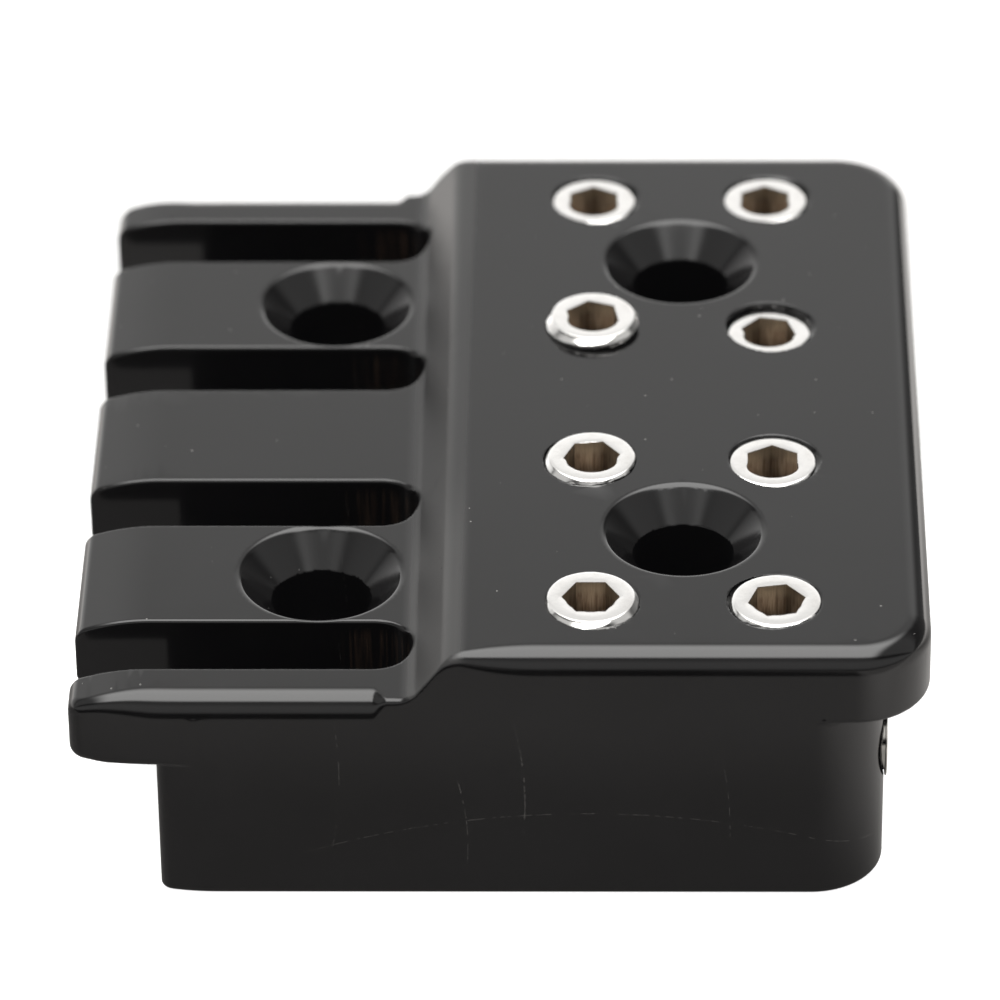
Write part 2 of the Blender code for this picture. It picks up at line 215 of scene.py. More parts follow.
def body_field(x, y, z):
    """The block before its holes: flange and plate above, a shorter part below."""
    top = top_field(x, y, z)
    plan = plan_field(x, y, -HALF_X, HALF_X, PLATE_CORNER, small=0.60, setback=0.42, run=5.0)
    # the long edges are rounded, but the rounding dies away where the step crosses them
    front = 1 - (1 - np.clip((x + 2.4) / 4.0, 0, 1)) ** 2
    back = ramp(x, -3.2, -1.5)
    low_edge = 0.16 * ramp(-x, 3.10, 4.20) + 0.84 * ramp(-x, 4.42, 5.02)
    keep = np.maximum(low_edge, np.where(y < 0, front, back))
    upper = rounded_and(top, plan, 0.10 + (0.35 + 0.55 * ramp(x, -16.9, -13.5)) * keep)
    under = np.where(x < 0, Z_FLANGE_UNDER, Z_PLATE_UNDER) - z
    # the two parts are flush along most of the long faces; an edge shows only where the ends overhang
    over = np.maximum(ramp(-x, 10.8, 13.2), ramp(x, 12.2, 13.6))
    upper = rounded_and(upper, under, 0.02 + 0.20 * over + 0.28 * ramp(-x, 15.6, 16.9))
    lower = plan_field(x, y, LOWER_X0, LOWER_X1, LOWER_CORNER, small=0.45, setback=0.30, run=2.6)
    lower = rounded_and(lower, -z, 0.14)
    lower = np.maximum(lower, z - (Z_PLATE_UNDER + 0.20))
    return rounded_or(upper, lower, 0.004 + 0.116 * over)


def block_field(x, y, z):
    """The block with its slots, bores, tapped holes and countersinks cut."""
    lane = np.mod(y + ROW_HALF, PITCH) - LANE_HALF
    # string slot: a round-ended groove, open at the -X end
    slot = np.hypot(np.maximum(x - SLOT_END_X, 0), lane) - SLOT_HALF
    slot = rounded_and(slot, SLOT_FLOOR - z, 0.25)
    channel = np.maximum(np.hypot(lane, z - CHANNEL_Z) - CHANNEL_R, SLOT_END_X - 0.5 - x)
    seat = np.maximum(np.hypot(lane, z - CHANNEL_Z) - BUSH_R, BUSH_X - x)
    bores = np.minimum(channel, seat)
    string = np.clip(np.floor((y + ROW_HALF) / PITCH), 0, 3).astype(int)
    tapped = None
    for place, screw_x in SCREW_X.items():
        rho = np.hypot(x - screw_x, lane)
        # the hole's thread meshes with the screw's, so it still does when the screw turns
        bolt = thread_radius(z - Z_PLATE - PROUD[place][string], np.arctan2(lane, x - screw_x),
                             THREAD_START[place][string])
        nut = np.clip(bolt + 0.03, SCREW_FACE_R, 1.985)
        # the thread fades into a plain bore below the mouth
        nut = nut + (SCREW_HOLE_R - nut) * ramp(Z_PLATE - z, 0.75, 1.10)
        hole = np.maximum(rho - nut, SCREW_HOLE_FLOOR - z)
        tapped = hole if tapped is None else np.minimum(tapped, hole)
        bores = np.minimum(bores, np.maximum(rho - PAD_HOLE_R, PAD_HOLE_FLOOR - z))
    field = rounded_and(body_field(x, y, z), -slot, 0.15)
    field = rounded_and(field, -bores, 0.10)
    field = rounded_and(field, -tapped, 0.025)
    for hole_x, hole_top in ((-CSK_X, Z_FLANGE), (CSK_X, Z_PLATE)):
        rho = np.hypot(x - hole_x, np.abs(y) - CSK_Y)
        # the mouth at -X and -Y is a little wider
        mouth = CSK_R + np.where((x < 0) & (y < 0), 0.09, 0.0)
        cone = (rho - (mouth - (hole_top - z))) * math.sqrt(0.5)
        cone = np.maximum(np.maximum(cone, hole_top - CSK_DEPTH - z), z - hole_top - 0.30)
        hole = np.minimum(cone, rho - CSK_BORE)
        field = rounded_and(field, -hole, 0.11)
    return field


def grid_line(low, high, coarse, bands):
    """Grid stations from low to high: coarse, but finer inside each (start, stop, step) band."""
    points = [low]
    while points[-1] < high:
        step = coarse
        for start, stop, fine in bands:
            if start <= points[-1] < stop:
                step = min(step, fine)
            elif points[-1] < start < points[-1] + step:
                step = min(step, max(start - points[-1], fine))
        points.append(points[-1] + step)
    return np.array(points, np.float64)


def surface_net(field, xs, ys, zs):
    """Quads around the zero surface of a field on a rectilinear grid."""
    shape = nx, ny, nz = len(xs), len(ys), len(zs)
    values = np.empty(shape, np.float32)
    # slabs of 24 stations keep the working arrays small
    for i0 in range(0, nx, 24):
        i1 = min(nx, i0 + 24)
        values[i0:i1] = field(xs[i0:i1, None, None], ys[None, :, None], zs[None, None, :])
    inside = values < 0
    corners = [(i, j, k) for i in (0, 1) for j in (0, 1) for k in (0, 1)]
    count = np.zeros((nx - 1, ny - 1, nz - 1), np.uint8)
    for i, j, k in corners:
        count += inside[i:nx - 1 + i, j:ny - 1 + j, k:nz - 1 + k]
    # one vertex per cell that the surface crosses, at the mean of its edge crossings
    cells = np.nonzero((count > 0) & (count < 8))
    index = np.full(count.shape, -1, np.int32)
    index[cells] = np.arange(len(cells[0]), dtype=np.int32)
    total = np.zeros((len(cells[0]), 3))
    hits = np.zeros(len(cells[0]))

    def corner_of_cells(offset):
        i, j, k = (cell + shift for cell, shift in zip(cells, offset))
        return values[i, j, k].astype(np.float64), np.stack([xs[i], ys[j], zs[k]], 1)

    for start in corners:
        for axis in range(3):
            if start[axis]:
                continue
            end = list(start)
            end[axis] = 1
            value_a, point_a = corner_of_cells(start)
            value_b, point_b = corner_of_cells(end)
            cross = (value_a < 0) != (value_b < 0)
            t = np.where(cross, value_a / np.where(cross, value_a - value_b, 1), 0)
            total += np.where(cross[:, None], point_a + (point_b - point_a) * t[:, None], 0)
            hits += cross
    verts = total / hits[:, None]
    # one quad around every grid edge that the surface crosses
    quads = []
    for axis in range(3):
        low = [slice(None)] * 3
        high = [slice(None)] * 3
        low[axis], high[axis] = slice(0, -1), slice(1, None)
        starts_inside, ends_inside = inside[tuple(low)], inside[tuple(high)]
        edges = np.nonzero(starts_inside != ends_inside)
        u, v = [(1, 2), (2, 0), (0, 1)][axis]
        keep = (edges[u] > 0) & (edges[v] > 0)
        for side in (u, v):
            keep &= edges[side] < shape[side] - 1
        edges = [e[keep] for e in edges]

        def cell(shift_u, shift_v):
            at = [e.copy() for e in edges]
            at[u] += shift_u
            at[v] += shift_v
            return index[tuple(at)]

        quad = np.stack([cell(-1, -1), cell(0, -1), cell(0, 0), cell(-1, 0)], 1)
        flip = ~starts_inside[tuple(edges)]
        quad[flip] = quad[flip][:, ::-1]
        quads.append(quad)
    return verts, np.concatenate(quads)


def gradient(field, points, reach):
    slopes = np.empty_like(points)
    for axis in range(3):
        shift = np.zeros(3)
        shift[axis] = reach
        slopes[:, axis] = (field(*(points + shift).T) - field(*(points - shift).T)) / (2 * reach)
    return slopes


def settle(field, points, reach):
    """Moves points onto the zero surface of the field, by at most reach in each of two rounds."""
    for _ in range(2):
        slopes = gradient(field, points, 0.004)
        size = np.maximum((slopes * slopes).sum(1), 0.05)
        step = -(field(*points.T) / size)[:, None] * slopes
        length = np.linalg.norm(step, axis=1, keepdims=True)
        points = points + step * np.minimum(1, reach / np.maximum(length, 1e-9))
    return points


def make_block():
    # grid steps: open faces, edges, and around the tapped holes
    step, edge, near = ((0.135, 0.055, 0.10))
    lanes = [(-1.5 * PITCH + PITCH * i) for i in range(4)]
    x_bands = [(c - 2.15, c + 2.15, near) for c in SCREW_X.values()]
    x_bands += [
        (-HALF_X - 0.1, -HALF_X + 0.8, edge * 1.5), (15.2, HALF_X + 0.1, edge * 1.6),
        (LOWER_X0 - 0.3, LOWER_X0 + 0.3, edge * 1.5),
    ]
    y_bands = [(c + s * SLOT_HALF - 0.22, c + s * SLOT_HALF + 0.22, edge)
               for c in lanes for s in (-1, 1)]
    y_bands += [
        (-HALF_Y - 0.1, -HALF_Y + 1.1, edge * 1.6), (HALF_Y - 1.1, HALF_Y + 0.1, edge * 1.6),
    ]
    y_bands += [(c - 2.15, c + 2.15, near) for c in lanes]
    z_bands = [
        (-0.1, 0.35, edge * 1.4), (Z_FLANGE_UNDER - 0.25, Z_FLANGE_UNDER + 0.75, edge * 1.8),
        (SLOT_FLOOR - 0.1, SLOT_FLOOR + 0.3, edge * 1.8),
        (Z_FLANGE - 1.45, Z_FLANGE - 0.2, edge * 1.8), (Z_FLANGE - 0.2, Z_FLANGE + 0.1, edge),
        (Z_FLANGE + 0.1, Z_PLATE - 0.2, edge * 1.8), (Z_PLATE - 0.2, Z_PLATE + 0.1, edge),
    ]
    xs = grid_line(-HALF_X - 0.31, HALF_X + 0.4, step, x_bands)
    ys = grid_line(-HALF_Y - 0.33, HALF_Y + 0.4, step, y_bands)
    zs = grid_line(-0.31, Z_PLATE + 0.4, 0.34, z_bands)
    verts, quads = surface_net(block_field, xs, ys, zs)
    verts = settle(block_field, verts, 0.06)
    ob = link_object("block_body", quad_mesh("block_body", verts, quads))
    thin = ob.modifiers.new("thin", "DECIMATE")
    thin.ratio = min(1.0, 192000 / (2 * len(quads)))
    graph = bpy.context.evaluated_depsgraph_get()
    mesh = bpy.data.meshes.new_from_object(ob.evaluated_get(graph), depsgraph=graph)
    ob.modifiers.clear()
    ob.data = mesh
    mesh.name = "block_body"
    mesh = ob.data
    points = settle(block_field, points_of(mesh), 0.03)
    set_points(mesh, points)
    mesh.update()
    mesh.shade_smooth()
    normals = gradient(block_field, points, 0.012)
    normals /= np.maximum(np.linalg.norm(normals, axis=1, keepdims=True), 1e-12)
    mesh.normals_split_custom_set_from_vertices([tuple(normal) for normal in normals])
    return ob


# ---- turned pieces and the threaded set screws ----
def round_profile(points, radius):
    """Rounds the corners of an open profile of (radius, z) points."""
    steps = 3
    points = [np.array(point, float) for point in points]
    out = [points[0]]
    for before, corner, after in zip(points, points[1:], points[2:]):
        back, ahead = before - corner, after - corner
        back_length, ahead_length = np.linalg.norm(back), np.linalg.norm(ahead)
        cut = min(radius, 0.45 * back_length, 0.45 * ahead_length)
        start, end = corner + back / back_length * cut, corner + ahead / ahead_length * cut
        for i in range(steps + 1):
            t = i / steps
            out.append((1 - t) ** 2 * start + 2 * t * (1 - t) * corner + t * t * end)
    out.append(points[-1])
    return out


def ring(radius, z, angle):
    """Points around Z; radius is one number or one per angle."""
    return np.stack([radius * np.cos(angle), radius * np.sin(angle), np.full(len(angle), z)], 1)


def turned_mesh(name, profile, segments, loop=False):
    """A turned body about Z from a (radius, z) profile that runs top to bottom on its outer side."""
    angle = np.arange(segments) * 2 * math.pi / segments
    return rings_mesh(name, [ring(radius, z, angle) for radius, z in profile], loop)


def screw_mesh(name, thread_start, sink, socket_turn):
    """M4 x 4 flat-point screw: helical thread, chamfered ends, broached hex socket, drilled floor.

    thread_start is the turn, in degrees, at which the thread's crest runs out just under the top;
    sink is the depth to which the socket's mouth is worn round on its -Y side at rest.
    """
    angle = np.arange(SCREW_SEGMENTS) * 2 * math.pi / SCREW_SEGMENTS
    hexagon = SOCKET_HALF / np.cos(np.mod(angle, math.pi / 3) - math.pi / 6)
    worn = ramp(-np.sin(angle + math.radians(socket_turn)), 0.0, 0.60)
    wide = 1.018 + 1.25 * sink * worn
    rim = np.maximum(hexagon, wide)

    def thread(z):
        radius = thread_radius(z, angle, thread_start)
        radius = np.minimum(radius, SCREW_FACE_R - 0.01 + (-z) * 0.92)
        return np.minimum(radius, 1.50 + (z + SCREW_LENGTH) * 1.0)

    # (radius, z) of each ring: the drilled floor, then the broached walls
    sections = [(0.25, -2.06), (0.6, -1.92), (0.93, -1.79)]
    sections += [(np.minimum(hexagon, 0.985), -1.765), (hexagon - 0.035, -1.755)]
    sections += [(hexagon, z) for z in (-1.72, -1.35, -0.95, -0.55, -0.30, -0.22)]
    # the worn mouth
    for t in (0.98, 0.8, 0.6, 0.4, 0.2, 0.07):
        sections.append((np.maximum(hexagon, wide - t * sink * worn * 1.25), -t * sink))
    # the top face
    sections += [
        (rim + 0.008, -0.002), (rim + 0.030, 0.0), (1.36, 0.0), (1.60, -0.002),
        (SCREW_FACE_R - 0.05, -0.006), (SCREW_FACE_R - 0.012, -0.016),
    ]
    # the thread, finest near the top, then the point with its shallow bore
    thread_zs = list(-np.arange(0.032, 1.05, 0.032)) + list(np.linspace(-1.08, -SCREW_LENGTH, 38))
    sections += [(thread(z), z) for z in thread_zs]
    sections += [(0.80, -SCREW_LENGTH), (0.75, -SCREW_LENGTH + 0.05), (0.75, -SCREW_LENGTH + 0.78)]
    rings = [ring(radius, z, angle) for radius, z in sections]
    mesh = rings_mesh(name, rings, sharp_degrees=30.0)
    # slot 0: plated outside, slot 1: dark broached socket
    points = points_of(mesh)
    for poly in mesh.polygons:
        x, y, z = points[list(poly.vertices)].mean(0)
        front = -math.sin(math.atan2(y, x) + math.radians(socket_turn)) > 0.15
        inside = math.hypot(x, y) < 1.19 and -2.2 < z < (-sink * 0.99 if front else -0.02)
        poly.material_index = 1 if inside else 0
    return mesh


PLACES = [(n, place) for n in (1, 2, 3, 4) for place in ("inner", "outer")]
PAD_STEM_TOP = 0.60
PAD_OUTLINE = [  # radius, z: a narrow stem on a disc
    (0.2, PAD_STEM_TOP), (0.65, PAD_STEM_TOP), (0.65, 0.0), (1.55, 0.0), (1.55, -0.80), (0.4, -0.80),
]
BUSH_LIP = 0.14  # from the end of the bush's CAD body back to its origin
BUSH_OUTLINE = [  # radius, z: a closed loop round the flanged wall
    (1.93, 0.07), (1.93, 0.0), (1.70, 0.0), (1.70, -1.40), (1.40, -1.40), (1.40, -0.04), (1.50, 0.07),
]


def make_screw(n, place):
    low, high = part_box(f"set_screw_{n}_{place}")
    socket_turn, thread_start, sink = SCREW_TURNS[(n, place)]
    name = f"threaded_screw_{n}_{place}"
    ob = link_object(name, screw_mesh(name, thread_start - socket_turn, sink, socket_turn))
    ob.location = ((low.x + high.x) / 2, (low.y + high.y) / 2, high.z)
    ob.rotation_euler = (0, 0, math.radians(socket_turn))
    return ob


def make_pad(n, place):
    low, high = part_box(f"clamp_pad_{n}_{place}")
    ob = link_object(f"swivel_pad_{n}_{place}", pad_data)
    ob.location = ((low.x + high.x) / 2, (low.y + high.y) / 2, high.z - PAD_STEM_TOP * MM)
    return ob


def make_bush(n):
    low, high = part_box(f"string_bush_{n}")
    ob = link_object(f"exit_bush_{n}", bush_data)
    ob.rotation_euler = (0, math.pi / 2, 0)
    ob.location = (high.x - BUSH_LIP * MM, (low.y + high.y) / 2, (low.z + high.z) / 2)
    return ob


block = make_block()
screws = {(n, place): make_screw(n, place) for n, place in PLACES}
pad_data = turned_mesh("pad_master", round_profile(PAD_OUTLINE, 0.08), segments=64)
pads = {(n, place): make_pad(n, place) for n, place in PLACES}
# the outline is wrapped by a point at each end, so that every corner is rounded
bush_profile = round_profile([BUSH_OUTLINE[-1]] + BUSH_OUTLINE + [BUSH_OUTLINE[0]], 0.03)[1:-1]
bush_data = turned_mesh("bush_master", bush_profile, segments=96, loop=True)
bushes = {n: make_bush(n) for n in (1, 2, 3, 4)}


# ---- materials ----
class Nodes:
    """Builds a node tree; kinds are named without their ShaderNode prefix."""

    def __init__(self, tree):
        self.tree = tree
        tree.nodes.clear()

    def add(self, kind, inputs=None, **settings):
        node = self.tree.nodes.new("ShaderNode" + kind)
        for key, value in settings.items():
            setattr(node, key, value)
        for key, value in (inputs or {}).items():
            socket = node.inputs[key]
            if isinstance(value, bpy.types.NodeSocket):
                self.tree.links.new(value, socket)
            else:
                socket.default_value = value
        return node

    def math(self, op, a, b=0.0, c=0.0, clamp=False):
        return self.add("Math", {0: a, 1: b, 2: c}, operation=op, use_clamp=clamp).outputs[0]

    def chain(self, op, first, *others):
        for other in others:
            first = self.math(op, first, other)
        return first

    def times(self, *values):
        return self.chain("MULTIPLY", *values)

    def plus(self, *values):
        return self.chain("ADD", *values)

    def minus(self, a, b):
        return self.math("SUBTRACT", a, b)

    def hypot(self, a, b):
        return self.math("SQRT", self.plus(self.times(a, a), self.times(b, b)))

    def mix(self, factor, a, b):
        return self.add("Mix", {0: factor, 6: a, 7: b}, data_type="RGBA").outputs[2]

    def mix_shaders(self, factor, a, b):
        return self.add("MixShader", {0: factor, 1: a, 2: b}).outputs[0]

    def ramp(self, value, over, start=0.0, end=1.0):
        """Smooth change from start to end while the value crosses the span."""
        inputs = {0: value, 1: over[0], 2: over[1], 3: start, 4: end}
        return self.add("MapRange", inputs, interpolation_type="SMOOTHSTEP").outputs[0]

    def ramp_mm(self, value, over, start=0.0, end=1.0):
        return self.ramp(value, (over[0] * MM, over[1] * MM), start, end)

    def ramp_degrees(self, value, over, start=0.0, end=1.0):
        return self.ramp(value, (math.radians(over[0]), math.radians(over[1])), start, end)

    def noise(self, vector, scale, detail, rough):
        inputs = {"Vector": vector, "Scale": scale, "Detail": detail, "Roughness": rough}
        return self.add("TexNoise", inputs).outputs["Fac"]

    def stretch(self, vector, scale):
        return self.add("Mapping", {"Vector": vector, "Scale": scale}).outputs[0]

    def coordinate(self, name):
        return self.add("TexCoord").outputs[name]

    def split(self, vector):
        return self.add("SeparateXYZ", {0: vector}).outputs

    def finish(self, colour, roughness, height, bump_strength, bump_mm, **inputs):
        """Bump, surface shader and output; other inputs are named with _ for a space."""
        bump = self.add("Bump", {
            "Height": height, "Strength": bump_strength, "Distance": bump_mm * MM})
        more = {key.replace("_", " "): value for key, value in inputs.items()}
        shader = self.add("BsdfPrincipled", {
            "Base Color": colour, "Roughness": roughness, "Normal": bump.outputs[0], **more})
        self.add("OutputMaterial", {0: shader.outputs[0]})


def new_material(name):
    material = bpy.data.materials.new(name)
    material.use_nodes = True
    return material, Nodes(material.node_tree)


RUBS = (  # arcs in the X-Z plane: centre x and z, radius, line width, lowest and highest z
    (-26.9, 6.0, 20.5, 0.030, 1.4, 9.2), (-14.5, 2.5, 13.2, 0.035, 0.8, 6.8),
    (-17.0, 4.6, 18.0, 0.050, 2.2, 8.8), (-11.2, 3.0, 20.4, 0.028, 2.0, 7.4),
    (3.5, -30.0, 34.0, 0.030, 0.5, 6.0),
)


def curved_rubs(nodes, x, z, fine):
    """Thin curved rubs, fading out at both ends and towards -X, broken up by the fine noise."""
    rubs = None
    for centre_x, centre_z, radius, width, low, high in RUBS:
        away = nodes.hypot(nodes.minus(x, centre_x * MM), nodes.minus(z, centre_z * MM))
        gap = nodes.math("ABSOLUTE", nodes.minus(away, radius * MM))
        line = nodes.times(
            nodes.ramp_mm(gap, over=(0.0, width), start=1, end=0),
            nodes.ramp_mm(z, over=(low, low + 1.5)),
            nodes.ramp_mm(z, over=(high - 1.5, high), start=1, end=0),
            nodes.ramp_mm(x, over=(-9.0, -5.0)),
        )
        rubs = line if rubs is None else nodes.math("MAXIMUM", rubs, line)
    return nodes.times(rubs, nodes.ramp(fine, over=(0.42, 0.62)))


def dust(nodes, where, facing_up):
    """Sparse specks, a few hundredths of a millimetre each, on the faces that look up."""
    cells = nodes.add("TexVoronoi", {"Vector": where, "Scale": 850.0, "Randomness": 1.0},
                      voronoi_dimensions="2D", feature="F1").outputs
    pick = nodes.split(cells["Color"])
    grain = nodes.ramp(pick[1], over=(0.2, 1.0), start=0.014, end=0.042)
    speck = nodes.math("SUBTRACT", 1.0, nodes.math("DIVIDE", cells["Distance"], grain), clamp=True)
    return nodes.times(
        nodes.ramp(speck, over=(0.0, 0.6)),
        nodes.ramp(pick[0], over=(0.875, 0.885)),
        nodes.ramp(facing_up, over=(0.55, 0.65)),
    )


def satin_slope(nodes, x, z, facing_up):
    """Mask of the step's slope, which the cutter leaves satin."""
    return nodes.times(
        nodes.ramp_mm(x, over=(-4.45, -3.95)),
        nodes.ramp_mm(x, over=(-1.75, -1.15), start=1, end=0),
        nodes.ramp_mm(z, over=(Z_FLANGE + 0.01, Z_FLANGE + 0.12)),
        nodes.ramp(facing_up, over=(0.20, 0.45)),
    )


def bare_slot_ends(nodes, where, x, y, z, facing_up):
    """Tool marks straight down the walls of the round slot ends."""
    tracks = nodes.stretch(where, scale=(5200.0, 5200.0, 160.0))
    tracks = nodes.noise(tracks, scale=1.0, detail=3.0, rough=0.7)
    tracks = nodes.ramp(tracks, over=(0.46, 0.66))
    lane = nodes.math("MODULO", nodes.plus(y, ROW_HALF * MM), PITCH * MM)
    across = nodes.math("ABSOLUTE", nodes.minus(lane, LANE_HALF * MM))
    upright = nodes.math("ABSOLUTE", facing_up)
    return nodes.times(
        nodes.ramp_mm(x, over=(-6.9, -5.6)),
        nodes.ramp_mm(x, over=(-3.35, -3.20), start=1, end=0),
        nodes.ramp_mm(z, over=(Z_FLANGE - 0.9, Z_FLANGE - 0.25), start=1, end=0),
        nodes.ramp(upright, over=(0.3, 0.6), start=1, end=0),
        nodes.ramp_mm(across, over=(1.70, 1.80), start=1, end=0),
        tracks,
    )


def black_finish():
    material, nodes = new_material("gloss_black_plating")
    where = nodes.coordinate("Object")
    x, y, z = nodes.split(where)
    # faint drifts in tint and gloss
    drift = nodes.noise(where, scale=180.0, detail=3.0, rough=0.55)
    fine = nodes.noise(where, scale=2600.0, detail=2.0, rough=0.6)
    # hair-fine polishing lines along Y
    stretched = nodes.stretch(where, scale=(9000.0, 260.0, 900.0))
    lines = nodes.noise(stretched, scale=1.0, detail=2.0, rough=0.65)
    rubs = curved_rubs(nodes, x, z, fine)
    facing_up = nodes.split(nodes.coordinate("Normal"))[2]
    speck = dust(nodes, where, facing_up)
    satin = satin_slope(nodes, x, z, facing_up)
    bare = bare_slot_ends(nodes, where, x, y, z, facing_up)
    film = nodes.noise(where, scale=700.0, detail=4.0, rough=0.7)
    film = nodes.ramp(film, over=(0.50, 0.78))

    colour = nodes.mix(nodes.ramp(drift, over=(0.3, 0.7)),
                       (0.0026, 0.0024, 0.0024, 1), (0.0034, 0.0032, 0.0033, 1))
    for mask, share, tint in (
        (film, 0.25, (0.0052, 0.0046, 0.0042, 1)),
        (speck, 0.55, (0.42, 0.41, 0.39, 1)),
        (rubs, 0.20, (0.16, 0.15, 0.14, 1)),
        (bare, 0.50, (0.045, 0.027, 0.017, 1)),
    ):
        colour = nodes.mix(nodes.times(mask, share), colour, tint)
    # a greyish painted sheen on the satin slope, standing in for its brighter reflection, strongest
    # towards the front
    painted_sheen = nodes.plus(nodes.ramp_mm(y, over=(-11.5, -5.0), start=1, end=0.12),
                       nodes.ramp_mm(y, over=(5.0, 15.0), start=0, end=0.35))
    colour = nodes.mix(nodes.times(painted_sheen, satin), colour, (0.022, 0.0215, 0.021, 1))

    # the gloss, and how much each mark dulls it
    rough = 0.075
    for mask, share in ((drift, 0.05), (film, 0.035), (rubs, 0.10),
                        (speck, 0.5), (satin, 0.28), (bare, 0.15)):
        rough = nodes.plus(rough, nodes.times(mask, share))
    # the countersinks are cut after polishing and stay a little duller
    from_x = nodes.minus(nodes.math("ABSOLUTE", x), CSK_X * MM)
    from_y = nodes.minus(nodes.math("ABSOLUTE", y), CSK_Y * MM)
    rho = nodes.hypot(from_x, from_y)
    dull = nodes.ramp_mm(rho, over=(CSK_R - 0.14, CSK_R - 0.02), start=0.07, end=0)
    rough = nodes.plus(rough, dull)

    # relief: faint lines everywhere, strong ones on the slope
    height = nodes.plus(nodes.times(lines, 0.10), nodes.times(drift, 1.0))
    height = nodes.plus(height, nodes.times(lines, satin, 0.9))
    # a faint bluish glow over the whole block: painted light that lifts the deep bores and slots out
    # of pure black
    nodes.finish(colour, rough, height, bump_strength=0.10, bump_mm=0.02, Metallic=0.0, IOR=1.52,
                 Emission_Color=(0.9, 0.9, 1.0, 1), Emission_Strength=0.0016)
    return material


def bright_metal(name, tint, dark, rough, lines_scale, wear):
    """Polished metal with fine lines, darkened in patches by wear."""
    material, nodes = new_material(name)
    where = nodes.coordinate("Object")
    drift = nodes.noise(where, scale=900.0, detail=3.0, rough=0.6)
    mapped = nodes.stretch(where, scale=lines_scale)
    lines = nodes.noise(mapped, scale=1.0, detail=3.0, rough=0.7)
    patches = nodes.times(nodes.ramp(drift, over=(0.45, 0.75)), wear)
    colour = nodes.mix(patches, (*tint, 1), (*dark, 1))
    roughness = nodes.plus(rough, nodes.times(drift, 0.10))
    nodes.finish(colour, roughness, lines, bump_strength=0.25, bump_mm=0.02, Metallic=1.0)
    return material


def socket_metal():
    """Broached socket: plating is thin inside, brownish, with marks straight down the walls; painted
    shade darkens it deep down and painted light makes it paler at the mouth.
    """
    material, nodes = new_material("broached_socket")
    where = nodes.coordinate("Object")
    mapped = nodes.stretch(where, scale=(9000.0, 9000.0, 500.0))
    marks = nodes.noise(mapped, scale=1.0, detail=3.0, rough=0.75)
    z = nodes.split(where)[2]
    painted_shade_deep = nodes.ramp_mm(z, over=(-1.9, -0.2), start=1, end=0)
    colour = nodes.mix(nodes.ramp(marks, over=(0.38, 0.66)),
                       (0.27, 0.215, 0.175, 1), (0.58, 0.51, 0.42, 1))
    # painted shade darkens the walls towards the floor; painted light makes them paler at the mouth
    colour = nodes.mix(nodes.times(painted_shade_deep, 0.6), colour, (0.17, 0.135, 0.105, 1))
    # painted light: the upper walls by the mouth are made paler
    mouth = nodes.ramp_mm(z, over=(-0.75, -0.25), start=0, end=0.65)
    colour = nodes.mix(mouth, colour, (0.66, 0.60, 0.48, 1))
    roughness = nodes.plus(0.30, nodes.times(marks, 0.15))
    nodes.finish(colour, roughness, marks, bump_strength=0.6, bump_mm=0.04, Metallic=1.0)
    return material


block.data.materials.append(black_finish())
chrome = bright_metal("bright_chrome", tint=(0.95, 0.94, 0.92), dark=(0.74, 0.71, 0.68),
                      rough=0.05, lines_scale=(700.0, 700.0, 2200.0), wear=0.35)
socket_finish = socket_metal()
for screw in screws.values():
    screw.data.materials.append(chrome)
    screw.data.materials.append(socket_finish)
pad_data.materials.append(bright_metal(
    "turned_brass", tint=(0.72, 0.52, 0.24), dark=(0.50, 0.34, 0.15),
    rough=0.22, lines_scale=(400.0, 400.0, 6000.0), wear=0.6))
bush_data.materials.append(bright_metal(
    "bush_nickel", tint=(0.74, 0.72, 0.68), dark=(0.52, 0.50, 0.46),
    rough=0.10, lines_scale=(300.0, 300.0, 3000.0), wear=0.4))


# ---- each piece rides on its CAD body and stands for its CAD node ----
def stand_in(ob, body, node):
    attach(ob, body)
    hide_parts(node)


stand_in(block, "block", "block")
for (n, place), screw in screws.items():
    stand_in(screw, f"screw_{n}_{place}", f"set_screw_{n}_{place}")
for (n, place), pad in pads.items():
    stand_in(pad, f"pad_{n}_{place}", f"clamp_pad_{n}_{place}")
for n, bush in bushes.items():
    stand_in(bush, "block", f"string_bush_{n}")

# ---- studio ----
scene.view_settings.view_transform = "Standard"
# degrees in the Y-Z plane (0 at the back horizon, 90 overhead, 180 at the front), brightness
SKY_STOPS = [
    (-180, 0.10), (-60, 0.30), (-8, 1.5), (0, 1.75), (10, 1.55), (20, 1.20), (31, 1.04),
    (34, 1.04), (37, 0.76), (48, 0.9), (60, 4.0), (68, 5.5), (112, 5.5), (118, 4.3),
    (121.5, 0.7), (124.5, 0.36), (134, 0.42), (142, 0.62), (150, 0.66), (166, 0.62),
    (173, 0.40), (178, 0.03), (180, 0.02),
]
SKY_STRENGTH = 7.0


